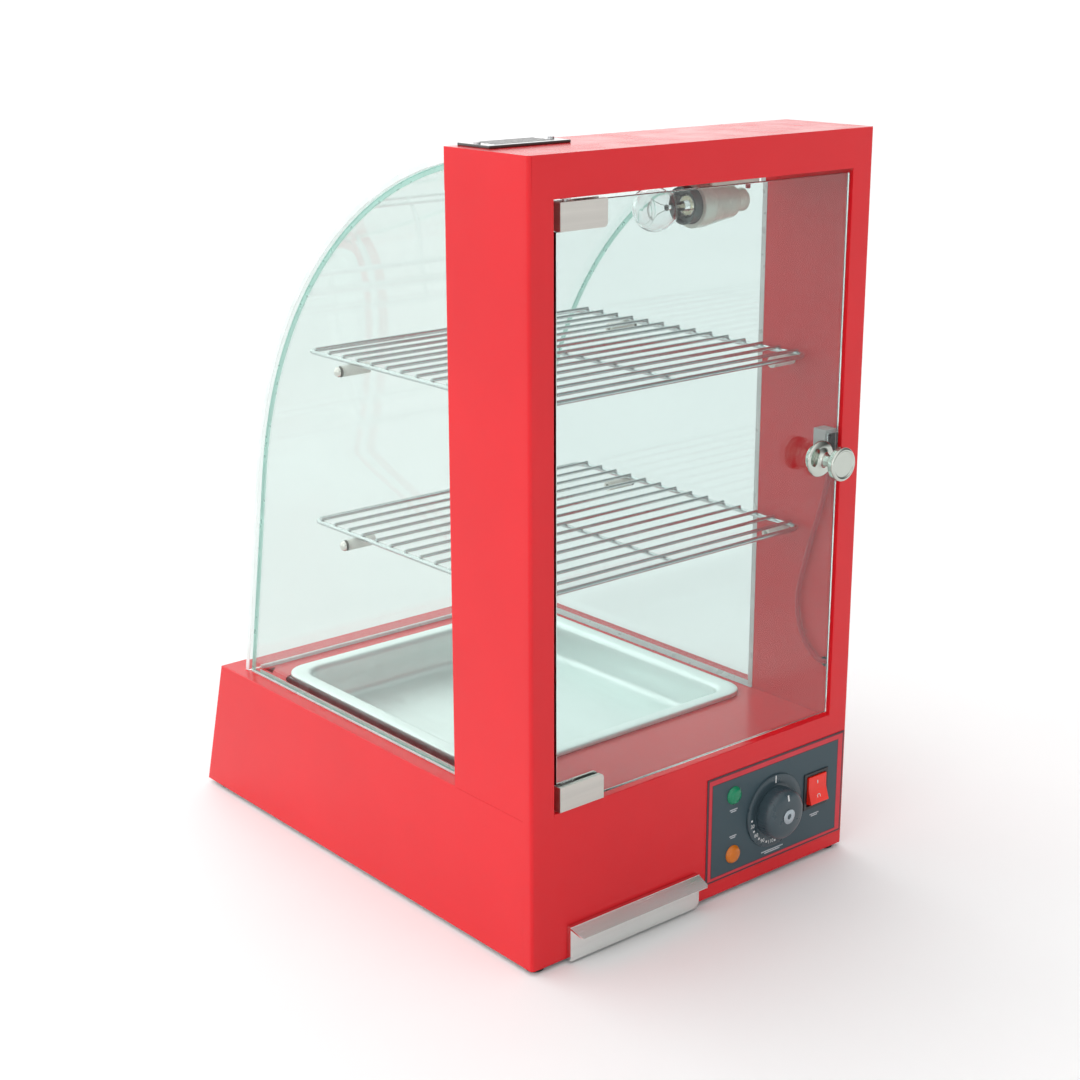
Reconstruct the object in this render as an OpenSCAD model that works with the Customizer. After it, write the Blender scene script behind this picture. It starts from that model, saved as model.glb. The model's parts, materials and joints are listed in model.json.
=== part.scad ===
// Curved-glass hot food display case for one pan, with two wire shelves.
// +Z is up, the door and controls face -Y and the curved glass faces +Y.
// The origin is on the table, under the middle of the case.
// Modules draw in case coordinates: y = 0 is the door frame's front face,
// z = 0 is the underside of the sheet metal. in_case() moves them to the origin.

/* [Case] */
// Width over the side panels
case_w = 350; // [346:1:360]
// Height of the sheet metal, from its underside to the top of the frame
case_h = 610; // [606:1:616]
// Depth of the door frame's posts and header
post_d = 93; // [88:1:98]
// Width of each post
post_w = 22.5; // [22:0.5:24]
// Height of the header above the door
header_h = 30.5; // [29:0.5:32]
// Radius of the frame's upright corners
corner_r = 3; // [2:0.5:4]
// Wall of the posts and the header
tube_t = 1.2; // [1:0.1:1.4]

/* [Base] */
// Height of the deck that the glass stands on
deck_z = 122; // [120:0.5:123]
// Depth of the deck from the door face to its customer edge
deck_d = 440; // [436:1:450]
// How far the customer side slopes out at the bottom
flare = 35; // [25:1:40]
// Sheet thickness of the base panels
sheet_t = 1.5; // [1.2:0.1:1.6]
// Height of the rubber feet
foot_h = 4; // [3.5:0.5:6]

/* [Glass] */
// Thickness of the cabinet's glass
glass_t = 5; // [4:0.5:5]
// Inset of the side glass from the side of the case
glass_inset = 15; // [14:0.5:16]
// Lean of the lower, straight part of the curved glass, in degrees
glass_lean = 10; // [9:0.5:11]
// Length of that straight part
glass_straight = 195; // [190:1:198]
// Outer radius of the curved part
glass_r = 358; // [356:1:362]
// Distance from the door face to the foot of the curved glass
glass_foot_y = 418; // [416:1:420]

/* [Door] */
// Gap between the door opening's sides and the glass
door_gap = 2.5; // [2.2:0.1:2.8]
// Thickness of the door glass
door_t = 5; // [4.5:0.5:5]
// Length and height of the pivot clamps
clamp_size = [43.5, 20]; // [18:0.5:44]
// Distance from the opening's side to the pivot
pivot_in = 13; // [13:0.5:15]
// Radius of the pivot pins
pin_r = 1.9; // [1.5:0.1:1.9]
// Height of the door knob above the case's underside
knob_z = 351; // [330:1:380]

/* [Shelves] */
// Heights of the shelf pegs
peg_z = [275.5, 420.6]; // [250:0.5:440]
// Distance of the pegs from the door face, door end and customer end
peg_y = [60, 257]; // [55:1:260]
// Diameter of the shelf's frame wire
frame_wire = 4; // [3.5:0.5:4.5]
// Diameter of the shelf's cross wires
cross_wire = 3; // [2.5:0.5:3]
// Spacing of the cross wires
wire_pitch = 19.8; // [18:0.2:22]

/* [Pan] */
// Outside width and length of the pan's rim
pan_rim = [282, 302]; // [276:1:302]
// Depth of the pan
pan_depth = 36; // [25:1:38]

/* [Controls] */
// Centre of the thermostat dial, across and up
dial_at = [86, 57]; // [50:1:90]
// Radius of the dial's scale ring
dial_r = 32; // [28:1:33]
// Radius of the thermostat knob
knob_r = 22; // [18:1:24]
// Centre of the rocker switch, across and up
rocker_at = [137, 61]; // [50:1:140]

/* [Hidden] */
half_w = case_w / 2;
open_x = half_w - post_w;
open_top = case_h - header_h;
open_low = deck_z + 2;
case_d = deck_d + flare;
knob_reach = 25;
front_y = -(case_d - knob_reach) / 2;
clear = 0.3;
eps = 0.01;
big = 1000;
panel_return = 10;
glass_x = half_w - glass_inset;
glass_z0 = deck_z + 0.2;
glass_y0 = post_d + 0.2;
curve_overhang = 3;
door_y = 1.5;
pivot_x = -(open_x - pivot_in);
pivot_y = door_y + door_t / 2;
door_left = -(open_x - door_gap - 0.5);
door_right = open_x - door_gap;
door_low = open_low + 3;
door_top = open_top - 3.2;
clamp_front = -2.5;
clamp_back = 9;
bush_r = 2.4;
clamp_left = -(open_x - 3.5);
clamp_z = [open_low + 1.4, open_top - 2.2 - clamp_size[1]];
clamp_block = 17;
clamp_screw_x = clamp_left + 29;
knob_x = open_x - 24.3;
peg_r = 4.5;
peg_screw_r = 2;
sleeve_in = 27;
pan_y = post_d + 144;
pan_lip = 3.5;
well = [pan_rim[0] - 28, pan_rim[1] - 28];
deck_hole = [pan_rim[0] + 1, pan_rim[1] - 14];
hole_shift = -7.5;
box_x = 139;
box_y = [pan_y - 150, pan_y + 147];
box_z = 54;
element_r = 4;
element_z = 70;
shelf_x = 146;
shelf_y = [38, 316];
shaft_r = 3;
tray_x = [-137.2, -5.2];
tray_y = 280;
tray_front_x = [-140, -2.5];
tray_top = 20;
lamp_y = 45;
lamp_z = 558;
lead_r = 2;
catch_z = 361;
gland = [120, 60];
grille_x = [-165.3, -90.7];
grille_t = 2.2;
grommet_y = 10;
grommet_z = [170, 345];

// Route of the lamp's lead: holder, header, right post, bow in the cabinet, base, switch
lamp_lead_route = [
    [80, 45, 566], [80, 45, 580], [84, 45, 590], [98, 45.5, 596], [122, 46, 597], [146, 46, 596],
    [159, 46, 590], [163, 46, 578], [163, 44, 540], [163, 38, 480], [163, 26, 420], [163, 14, 372],
    [162, 10.5, 356], [159, 10, 347.5], [155.6, 10, 345.2], [152.3, 10, 345], [150.3, 10.1, 343.8],
    [149.3, 10.7, 340], [149, 13, 326], [149, 19, 302], [149, 27, 276], [149, 36, 244],
    [149, 40.5, 218], [149, 37, 197], [149, 28, 181], [149.2, 19, 173.5], [149.6, 13.5, 171],
    [151, 10.6, 170.1], [153.2, 10, 170], [156.5, 10, 169.6], [160, 11.5, 165], [163, 20, 148],
    [163, 30, 125], [162, 33, 104], [152, 37, 84], [140, 36.5, 69]
];

// Routes of the wires: gland to block, block to thermostat, thermostat to heater, switch to block,
// block to heater
wire_routes = [
    [[120, 438, 47], [122, 433, 40], [132, 418, 18], [150, 390, 6], [160, 340, 4], [160, 200, 4],
     [152, 110, 4], [130, 98, 5], [90, 95, 8], [64, 90, 24], [60, 78, 35], [57, 72, 37], [57, 66, 37]],
    [[57, 60, 37], [57, 54, 37], [62, 44, 42], [74, 38, 50], [80, 36.5, 54]],
    [[110, 74, 70], [110, 62, 70], [106, 46, 66], [96, 36.5, 60]],
    [[137, 36, 53], [128, 46, 46], [80, 56, 38], [66, 48, 36], [50, 50, 36.6], [48, 55, 37], [48, 60, 37]],
    [[42, 74.5, 70], [42, 74.5, 58], [40, 75, 46], [39, 74.5, 39.5], [39, 71, 37.1], [39, 66, 37]]
];

// Route of the thermostat's capillary from its body to the bulb under the pan
capillary_route = [
    [86, 35.5, 66], [86, 50, 76], [84, 68, 84], [80.5, 84, 86], [76, 100, 82], [70, 124, 79],
    [60, 150, 78], [50, 172, 78]
];

$fn = 64;
red_paint = [0.82, 0.05, 0.08];
steel = [0.78, 0.79, 0.8];
chrome = [0.86, 0.87, 0.88];
galvanised = [0.62, 0.64, 0.66];
glass_tint = [0.75, 0.92, 0.86, 0.35];
black_plastic = [0.06, 0.06, 0.07];
cream = [0.9, 0.87, 0.78];
brass = [0.8, 0.65, 0.3];

// ---- Shared shapes ----

function about(c, half) = [c - half, c + half];

module in_case() {
    translate([0, front_y, foot_h]) children();
}

module slab(x, y, z) {
    translate([x[0], y[0], z[0]]) cube([x[1] - x[0], y[1] - y[0], z[1] - z[0]]);
}

// Extrudes a (y, z) outline from x[0] to x[1]
module across(x) {
    translate([x[0], 0, 0]) rotate([90, 0, 90]) linear_extrude(x[1] - x[0]) children();
}

module rod_x(x, y, z, r) {
    translate([x[0], y, z]) rotate([0, 90, 0]) cylinder(h = x[1] - x[0], r = r);
}

module rod_y(x, y, z, r) {
    translate([x, y[0], z]) rotate([-90, 0, 0]) cylinder(h = y[1] - y[0], r = r);
}

module rod_z(x, y, z, r) {
    translate([x, y, z[0]]) cylinder(h = z[1] - z[0], r = r);
}

module both_sides() {
    children();
    mirror([1, 0, 0]) children();
}

module round_rect(size, r) {
    square([size[0] - 2 * r, size[1]], center = true);
    square([size[0], size[1] - 2 * r], center = true);
    for (sx = [-1, 1], sy = [-1, 1])
        translate([sx * (size[0] / 2 - r), sy * (size[1] / 2 - r)]) circle(r = r);
}

// Quarter of a bent rod in the XY plane, round the point at, from angle a0 to a0 + 90
module bend(at, bend_r, a0, r) {
    translate(at) rotate([0, 0, a0]) rotate_extrude(angle = 90) translate([bend_r, 0]) circle(r = r);
}

// Smooth curve through the points of a route, n steps between neighbours
function spline_at(p, q, r, s, t) =
    0.5 * (2 * q + (r - p) * t + (2 * p - 5 * q + 4 * r - s) * t * t
    + (3 * q - p - 3 * r + s) * t * t * t);
function smooth(route, n) = [
    for (i = [0 : len(route) - 2], k = [0 : n - 1])
        spline_at(route[max(i - 1, 0)], route[i], route[i + 1],
            route[min(i + 2, len(route) - 1)], k / n),
    route[len(route) - 1]
];
function unit(v) = v / norm(v);
function heading(path, i) = unit(path[min(i + 1, len(path) - 1)] - path[max(i - 1, 0)]);
function square_to(v, t) = unit(v - (v * t) * t);

// Round wire along a route
module wire(route, r, n = 3, sides = 8) {
    path = smooth(route, n);
    count = len(path);
    start = square_to([0.3, 0.5, 0.81], heading(path, 0));
    normals = [
        for (i = 0, v = start; i < count; i = i + 1, v = i < count ? square_to(v, heading(path, i)) : v) v
    ];
    points = [
        for (i = [0 : count - 1], k = [0 : sides - 1])
            path[i] + r * (cos(360 * k / sides) * normals[i]
                + sin(360 * k / sides) * cross(heading(path, i), normals[i]))
    ];
    sides_faces = [
        for (i = [0 : count - 2], k = [0 : sides - 1])
            [i * sides + k, (i + 1) * sides + k, (i + 1) * sides + (k + 1) % sides,
             i * sides + (k + 1) % sides]
    ];
    polyhedron(points, concat(
        sides_faces,
        [[for (k = [0 : sides - 1]) k]],
        [[for (k = [sides - 1 : -1 : 0]) (count - 1) * sides + k]]
    ));
}

// ---- Operator frame ----

module post_plan() {
    translate([open_x, corner_r]) square([post_w, post_d - corner_r]);
    translate([open_x, 0]) square([post_w - corner_r, post_d]);
    translate([half_w - corner_r, corner_r]) circle(r = corner_r);
}

module post() {
    translate([0, 0, deck_z]) linear_extrude(open_top - deck_z) difference() {
        post_plan();
        translate([open_x + tube_t, tube_t]) square([post_w - 2 * tube_t, post_d - 2 * tube_t]);
    }
}

module peg_holes() {
    for (z = peg_z)
        rod_x([open_x - 1, open_x + tube_t + 1], peg_y[0], z, peg_screw_r + 0.1);
}

module left_post() {
    color(red_paint) in_case() mirror([1, 0, 0]) difference() {
        post();
        peg_holes();
    }
}

module right_post() {
    color(red_paint) in_case() difference() {
        post();
        peg_holes();
        for (z = grommet_z) rod_x([open_x - 1, open_x + tube_t + 1], grommet_y, z, 3.6);
    }
}

module frame_plan() {
    translate([-half_w, corner_r]) square([case_w, post_d - corner_r]);
    translate([-half_w + corner_r, 0]) square([case_w - 2 * corner_r, post_d]);
    for (side = [-1, 1]) translate([side * (half_w - corner_r), corner_r]) circle(r = corner_r);
}

module header() {
    inner_x = half_w - tube_t;
    color(red_paint) in_case() difference() {
        translate([0, 0, open_top]) linear_extrude(header_h) frame_plan();
        slab([-inner_x, inner_x], [tube_t, post_d - tube_t], [open_top + tube_t, case_h - tube_t]);
        slab(grille_x + [7.5, -7.5], [60, 84], [case_h - 5, case_h + 1]);
        for (x = [-150 : 14 : -108]) slab([x, x + 6], [50, 86], [open_top - 1, open_top + 5]);
        rod_z(80, lamp_y, [open_top - 1, open_top + 5], 5);
        rod_z(163, 46, [open_top - 1, open_top + 5], 5);
        rod_z(pivot_x, pivot_y, [open_top - 1, open_top + 5], bush_r + 0.05);
    }
}

module front_panel_plan() {
    inner_x = half_w - sheet_t;
    difference() {
        intersection() {
            frame_plan();
            translate([-half_w, 0]) square([case_w, panel_return]);
        }
        translate([-inner_x, sheet_t]) square([2 * inner_x, panel_return]);
    }
}

module front_panel() {
    color(red_paint) in_case() difference() {
        union() {
            linear_extrude(deck_z) front_panel_plan();
            slab([-open_x, open_x], [0, sheet_t], [deck_z - eps, open_low]);
            slab([-open_x, open_x], [0, 14], [open_low - sheet_t, open_low]);
        }
        slab([-138.5, -4], [-1, 5], [-1, 25]);
        rod_y(dial_at[0], [-1, 5], dial_at[1], 7);
        slab(about(rocker_at[0], 13.3), [-1, 5], about(rocker_at[1], 15.5));
        indicator_holes();
        rod_z(pivot_x, pivot_y, [open_low - 5, open_low + 1], bush_r + 0.05);
    }
}

// ---- Base ----

module side_panel() {
    chamfer = 0.9;
    color(red_paint) in_case() difference() {
        across([half_w - sheet_t, half_w])
            polygon([[panel_return, 0], [case_d, 0], [deck_d, deck_z], [panel_return, deck_z]]);
        translate([half_w, 0, deck_z]) rotate([0, 45, 0]) cube([chamfer, 2 * big, chamfer], center = true);
    }
}

module left_side_panel() {
    mirror([1, 0, 0]) side_panel();
}

module right_side_panel() {
    side_panel();
}

module customer_panel() {
    inner_x = half_w - sheet_t;
    top_z = deck_z - tube_t;
    top_y = case_d - flare * top_z / deck_z;
    color(red_paint) in_case() difference() {
        across([-inner_x, inner_x])
            polygon([[case_d, 0], [top_y, top_z], [top_y - sheet_t, top_z], [case_d - sheet_t, 0]]);
        on_gland() cylinder(h = 20, r = 8, center = true);
    }
}

module deck() {
    inner_x = half_w - sheet_t;
    color(red_paint) in_case() difference() {
        slab([-inner_x, inner_x], [12, deck_d], [deck_z - tube_t, deck_z]);
        translate([hole_shift, pan_y, deck_z - 5]) linear_extrude(10) round_rect(deck_hole, 17);
        both_sides() translate([0, 0, deck_z - 5]) linear_extrude(10)
            polygon([[136, 406], [147, 406], [147, 394]]);
        rod_z(163, 30, [deck_z - 5, deck_z + 5], 6);
    }
}

module bottom_plate() {
    inner_x = half_w - sheet_t - 0.2;
    color(galvanised) in_case() difference() {
        slab([-inner_x, inner_x], [sheet_t + 0.2, case_d - 2.5], [0, tube_t]);
        foot_spots() rod_z(0, 0, [-1, 5], 2.1);
        for (x = [20 : 15 : 140]) slab([x, x + 5], [180, 240], [-1, 5]);
        for (x = [20 : 15 : 140]) slab([x, x + 5], [300, 360], [-1, 5]);
    }
}

module foot_spots() {
    for (x = [-164, 164], y = [10, case_d - 20]) translate([x, y, 0]) children();
}

module feet() {
    color(black_plastic) in_case() foot_spots() difference() {
        translate([0, 0, -foot_h]) cylinder(h = foot_h, r1 = 7, r2 = 8);
        translate([0, 0, -foot_h - 1]) cylinder(h = foot_h - 0.5, r = 4.2);
        rod_z(0, 0, [-foot_h, 1], 2.1);
    }
}

module underside_screws() {
    color(steel) in_case() {
        foot_spots() {
            rod_z(0, 0, [-3.3, -1.5], 3.6);
            rod_z(0, 0, [-2, 3], 2);
        }
        for (x = [-165, 165], y = [120, 240, 360]) rod_z(x, y, [-1.8, 0], 3.2);
        for (x = [-100, 0, 100]) rod_z(x, case_d - 14, [-1.8, 0], 3.2);
    }
}

// ---- Glass ----

lean_up = [-sin(glass_lean), cos(glass_lean)];
lean_in = [-cos(glass_lean), -sin(glass_lean)];

// Solid (y, z) outline behind the curved glass's outer face, set in by an inset
module glass_outline(inset) {
    foot = [glass_foot_y, deck_z] + lean_in * inset;
    spring = foot + lean_up * glass_straight;
    centre = spring + lean_in * (glass_r - inset);
    below = foot - lean_up * 20;
    polygon([[0, below[1]], below, spring, centre, [0, centre[1]]]);
    intersection() {
        translate(centre) circle(r = glass_r - inset, $fn = 256);
        translate(-lean_up * 5) polygon([
            spring - lean_in * 20, centre, [0, centre[1]], [0, case_h + 9], [glass_foot_y, case_h + 9]
        ]);
    }
}

module glass_limits() {
    translate([glass_y0, glass_z0]) square([big, big]);
}

module side_glass() {
    color(glass_tint) in_case() difference() {
        across([glass_x - glass_t, glass_x]) intersection() {
            glass_outline(glass_t + 0.3);
            glass_limits();
        }
        for (z = peg_z) rod_x([glass_x - glass_t - 1, glass_x + 1], peg_y[1], z, 3.2);
    }
}

module left_glass() {
    mirror([1, 0, 0]) side_glass();
}

module right_glass() {
    side_glass();
}

module curved_glass() {
    reach = glass_x + curve_overhang;
    color(glass_tint) in_case() across([-reach, reach]) intersection() {
        difference() {
            glass_outline(0);
            glass_outline(glass_t);
        }
        glass_limits();
    }
}

module glass_seals() {
    inner = glass_x - glass_t;
    color([0.9, 0.93, 0.92]) in_case() {
        both_sides() translate([0, glass_y0, 0]) rotate([-90, 0, 0]) linear_extrude(308)
            polygon([[inner - eps, -deck_z], [inner - 4, -deck_z], [inner - eps, -deck_z - 4]]);
        both_sides() slab([glass_x + 0.05, glass_x + 1.6], [glass_y0, 410], [deck_z, deck_z + 1.5]);
        both_sides() slab([open_x, inner - eps], [post_d, post_d + 5], [deck_z, open_top]);
        slab([-148, 148], [glass_foot_y - 9, glass_foot_y - 6], [deck_z, deck_z + 3]);
    }
}

// ---- Top vent ----

module vent_grille() {
    color(black_plastic) in_case() difference() {
        slab(grille_x, [54, 90], [case_h, case_h + grille_t]);
        for (y = [61 : 5.5 : 83]) slab(grille_x + [10, -10], [y - 1.4, y + 1.4], [case_h - 1, case_h + 4]);
    }
}

module grille_screws() {
    color(steel) in_case() for (x = grille_x + [3.6, -3.6])
        rod_z(x, 72, [case_h + grille_t, case_h + grille_t + 1.2], 2.6);
}

// ---- Lamp ----

// Turns a (radius, x) outline round the lamp's axis
module on_lamp_axis() {
    translate([0, lamp_y, lamp_z]) rotate([0, 90, 0]) rotate_extrude() children();
}

module lamp_holder() {
    color(cream) in_case() difference() {
        union() {
            on_lamp_axis()
                polygon([[0, 18], [17.5, 18], [17.5, 30], [14, 50], [13, 60], [9, 60], [9, 74], [0, 74]]);
            slab([34, 86], [36, 54], [lamp_z + 11, open_top]);
        }
        rod_x([0, 46], lamp_y, lamp_z, 14.3);
        rod_x([0, 56], lamp_y, lamp_z, 11);
        rod_z(80, lamp_y, [lamp_z + 4, open_top + 1], 2.6);
    }
}

module lamp_socket() {
    color([0.15, 0.14, 0.14]) in_case() on_lamp_axis() polygon([
        [9.2, 14], [12.6, 14], [12.6, 10], [14, 10], [14, 20], [10.2, 20], [10.2, 40], [9.2, 40]
    ]);
}

module lamp_bulb() {
    color(glass_tint) in_case() on_lamp_axis() difference() {
        union() {
            intersection() {
                translate([0, -18]) circle(r = 17);
                translate([0, -40]) square([20, 45]);
            }
            polygon([[0, -18], [14, -8.4], [9, 8], [8.2, 14], [0, 14]]);
        }
        intersection() {
            translate([0, -18]) circle(r = 16.2);
            translate([-1, -40]) square([20, 45]);
        }
        polygon([[-1, -18], [13.2, -8.6], [8.2, 8], [7.4, 15], [-1, 15]]);
    }
}

module lamp_base() {
    color(brass) in_case() on_lamp_axis()
        polygon([[0, 14.1], [8.8, 14.1], [8.8, 32], [5, 36], [2.5, 38], [0, 38]]);
}

// ---- Shelf pegs ----

module peg_sleeves() {
    color(cream) in_case() both_sides() for (z = peg_z) {
        difference() {
            rod_x([glass_x - glass_t - sleeve_in, glass_x - glass_t], peg_y[1], z, peg_r);
            rod_x([glass_x - glass_t - sleeve_in - 1, glass_x], peg_y[1], z, peg_screw_r + 0.05);
        }
        difference() {
            rod_x([open_x - sleeve_in + 3, open_x], peg_y[0], z, peg_r);
            rod_x([open_x - sleeve_in + 2, open_x + 1], peg_y[0], z, peg_screw_r + 0.05);
        }
    }
}

module peg_screws() {
    color(chrome) in_case() both_sides() for (z = peg_z) {
        rod_x([glass_x - glass_t - sleeve_in + 3, glass_x + 1], peg_y[1], z, peg_screw_r);
        translate([glass_x, peg_y[1], z]) rotate([0, 90, 0]) rotate_extrude() intersection() {
            translate([0, -1.5]) circle(r = peg_r + 0.1);
            square([peg_r + 1, 5]);
        }
        rod_x([open_x - sleeve_in + 6, open_x + tube_t + 0.5], peg_y[0], z, peg_screw_r);
        rod_x([open_x + tube_t, open_x + tube_t + 2.5], peg_y[0], z, 4);
    }
}

// ---- Heater ----

module heat_box() {
    color(galvanised) in_case() difference() {
        slab([-box_x, box_x], box_y, [box_z, deck_z - tube_t]);
        slab([-box_x + 1, box_x - 1], box_y + [1, -1], [box_z + 1, deck_z]);
        for (x = [42, 110]) rod_y(x, about(box_y[0], 2), element_z, element_r + 0.5);
        rod_y(79, about(box_y[0], 2), 86, 3);
    }
}

module heating_element() {
    bend_r = 25;
    far_y = box_y[1] - 24;
    near_y = box_y[0] + 34;
    color([0.35, 0.34, 0.33]) in_case() {
        rod_y(110, [76, far_y - bend_r], element_z, element_r);
        bend([110 - bend_r, far_y - bend_r, element_z], bend_r, 0, element_r);
        rod_x([-110 + bend_r, 110 - bend_r], far_y, element_z, element_r);
        bend([-110 + bend_r, far_y - bend_r, element_z], bend_r, 90, element_r);
        rod_y(-110, [near_y + bend_r, far_y - bend_r], element_z, element_r);
        bend([-110 + bend_r, near_y + bend_r, element_z], bend_r, 180, element_r);
        rod_x([-110 + bend_r, 42 - bend_r], near_y, element_z, element_r);
        bend([42 - bend_r, near_y - bend_r, element_z], bend_r, 0, element_r);
        rod_y(42, [76, near_y - bend_r], element_z, element_r);
    }
}

module element_clips() {
    color(steel) in_case() for (x = [-110, 110], y = [170, 290]) difference() {
        slab([x - 9, x + 9], [y - 5, y + 5], [box_z + 1, element_z + 3]);
        slab([x - 7.5, x + 7.5], [y - 6, y + 6], [box_z + 2, element_z - element_r]);
        rod_y(x, [y - 6, y + 6], element_z, element_r + 0.05);
        slab([x - 3.2, x + 3.2], [y - 6, y + 6], [element_z, element_z + 5]);
    }
    color(steel) in_case() slab([47, 53], [200, 206], [box_z + 1, 74.9]);
}

module heat_shield() {
    color(galvanised) in_case() difference() {
        slab([12, 168], [80, 81], [tube_t, deck_z - tube_t]);
        for (x = [42, 110]) rod_y(x, [79, 82], element_z, element_r + 1);
        rod_y(81, [79, 82], 86, 3);
        slab([55, 78], [79, 82], [24, 42]);
        slab([150, 165], [79, 82], [0, 20]);
    }
}

// ---- Controls ----

indicator_x = 38.5;
indicator_z = [31.5, 84];

module indicator_holes() {
    for (z = indicator_z) rod_y(indicator_x, [-2, 5], z, 5.1);
}

module control_plate() {
    color([0.16, 0.19, 0.22]) in_case() difference() {
        slab([8.5, 171.5], [-0.8, 0], [12.5, 105]);
        indicator_holes();
        rod_y(dial_at[0], [-2, 5], dial_at[1], 7);
        slab(about(rocker_at[0], 13.3), [-2, 5], about(rocker_at[1], 15.5));
    }
}

module indicator(z) {
    in_case() {
        rod_y(indicator_x, [-0.8, 20], z, 5);
        translate([indicator_x, -0.8, z]) rotate([90, 0, 0]) rotate_extrude() intersection() {
            translate([0, -5.1]) circle(r = 9.3);
            square([9, 5]);
        }
    }
}

module green_indicator() {
    color([0.05, 0.55, 0.3]) indicator(indicator_z[1]);
}

module orange_indicator() {
    color([0.9, 0.5, 0.1]) indicator(indicator_z[0]);
}

module thermostat_body() {
    color(black_plastic) in_case() difference() {
        union() {
            slab(about(dial_at[0], 18), [sheet_t + 1, 34], about(dial_at[1], 17));
            slab(about(dial_at[0], 24), [sheet_t, sheet_t + 1.1], about(dial_at[1], 8));
        }
        rod_y(dial_at[0], [0, 14], dial_at[1], shaft_r + 0.05);
    }
}

module thermostat_shaft() {
    color(steel) in_case() rod_y(dial_at[0], [-14, 13], dial_at[1], shaft_r);
}

module capillary() {
    end = capillary_route[len(capillary_route) - 1];
    color([0.72, 0.45, 0.3]) in_case() {
        wire(capillary_route, 0.9);
        rod_y(end[0], [end[1] - 1, end[1] + 70], end[2], 3);
    }
}

module dial_ring() {
    color(black_plastic) in_case() difference() {
        rod_y(dial_at[0], [-2.8, -0.8], dial_at[1], dial_r);
        rod_y(dial_at[0], [-4, 1], dial_at[1], 8);
    }
}

module thermostat_knob() {
    color(black_plastic) in_case() translate([dial_at[0], 0, dial_at[1]]) rotate([90, 0, 0]) difference() {
        rotate_extrude() polygon([
            [0, 3.2], [knob_r, 3.2], [knob_r, 12], [knob_r - 1, 15.5], [knob_r - 4, 17.6],
            [8, 18.6], [0, 18.6]
        ]);
        translate([0, 0, -1]) cylinder(h = 15.1, r = shaft_r + 0.01);
        translate([-0.7, 10, 17]) cube([1.4, knob_r, 5]);
    }
}

module knob_badge() {
    color(chrome) in_case() rod_y(dial_at[0], [-19.4, -18.6], dial_at[1], 6.5);
}

module rocker_housing() {
    cx = rocker_at[0];
    cz = rocker_at[1];
    color(black_plastic) in_case() {
        difference() {
            union() {
                slab(about(cx, 14.5), [-2.2, -0.8], about(cz, 16.4));
                slab(about(cx, 13), [-1, 26], about(cz, 15.2));
            }
            slab(about(cx, 11.2), [-5, 13], about(cz, 13.6));
            rod_x(about(cx, 12.4), 4, cz, 1.55);
        }
        for (z = [-8, 0, 8]) slab(about(cx, 3), [25, 33], about(cz + z, 0.4));
    }
}

module rocker_button() {
    color([0.9, 0.08, 0.05]) in_case() translate([rocker_at[0], 4, rocker_at[1]]) rotate([-9, 0, 0]) {
        across([-10.8, 10.8]) polygon([[4, -12], [-9.5, -12], [-7.8, 0], [-9.5, 12], [4, 12]]);
        rod_x([-12.2, 12.2], 0, 0, 1.5);
    }
}

module terminal_block() {
    color([0.85, 0.85, 0.82]) in_case() difference() {
        union() {
            slab([25, 62], [57, 70], [32, 46]);
            slab([25, 28], [60, 67], [tube_t, 33]);
            slab([59, 62], [60, 67], [tube_t, 33]);
        }
        for (x = [30 : 9 : 57]) {
            rod_z(x, 63.5, [41, 50], 2.4);
            rod_y(x, [64, 71], 37, 2);
            rod_y(x, [56, 62], 37, 2);
        }
    }
}

module inner_wiring() {
    color([0.15, 0.15, 0.5]) in_case() for (route = wire_routes) wire(route, 1.4);
}

module lamp_lead() {
    color([0.35, 0.02, 0.04]) in_case() wire(lamp_lead_route, lead_r, n = 2);
}

module lead_grommets() {
    color(black_plastic) in_case() for (z = grommet_z) difference() {
        union() {
            rod_x([open_x - 0.6, open_x], grommet_y, z, 4.3);
            rod_x([open_x - 0.1, open_x + tube_t + 1], grommet_y, z, 3.55);
        }
        rod_x([open_x - 2, open_x + 5], grommet_y, z, 2.8);
    }
}

// Stands on the customer panel's outer face, with +Z square to it
module on_gland() {
    translate([gland[0], case_d - flare * gland[1] / deck_z, gland[1]])
        rotate([-90 + atan(flare / deck_z), 0, 0]) children();
}

module mains_gland() {
    color(black_plastic) in_case() on_gland() difference() {
        union() {
            translate([0, 0, -12]) cylinder(h = 25, r = 7.9);
            cylinder(h = 6, r = 11, $fn = 6);
            translate([0, 0, -sheet_t - 4]) cylinder(h = 4, r = 10.5);
        }
        translate([0, 0, -20]) cylinder(h = 40, r = 3.6);
    }
}

// ---- Crumb tray ----

module tray_guides() {
    color(galvanised) in_case() {
        tray_guide();
        translate([tray_x[0] + tray_x[1], 0, 0]) mirror([1, 0, 0]) tray_guide();
    }
}

module tray_guide() {
    outer = tray_x[1] + 3.2;
    across_y([14, tray_y + 8]) polygon([
        [outer + 8, tube_t], [outer + 8, tube_t + 1.2], [outer, tube_t + 1.2], [outer, 22.5],
        [outer - 6, 22.5], [outer - 6, 21.5], [outer - 1.2, 21.5], [outer - 1.2, tube_t]
    ]);
}

// Extrudes an (x, z) outline from y[0] to y[1]
module across_y(y) {
    translate([0, y[1], 0]) rotate([90, 0, 0]) linear_extrude(y[1] - y[0]) children();
}

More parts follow.
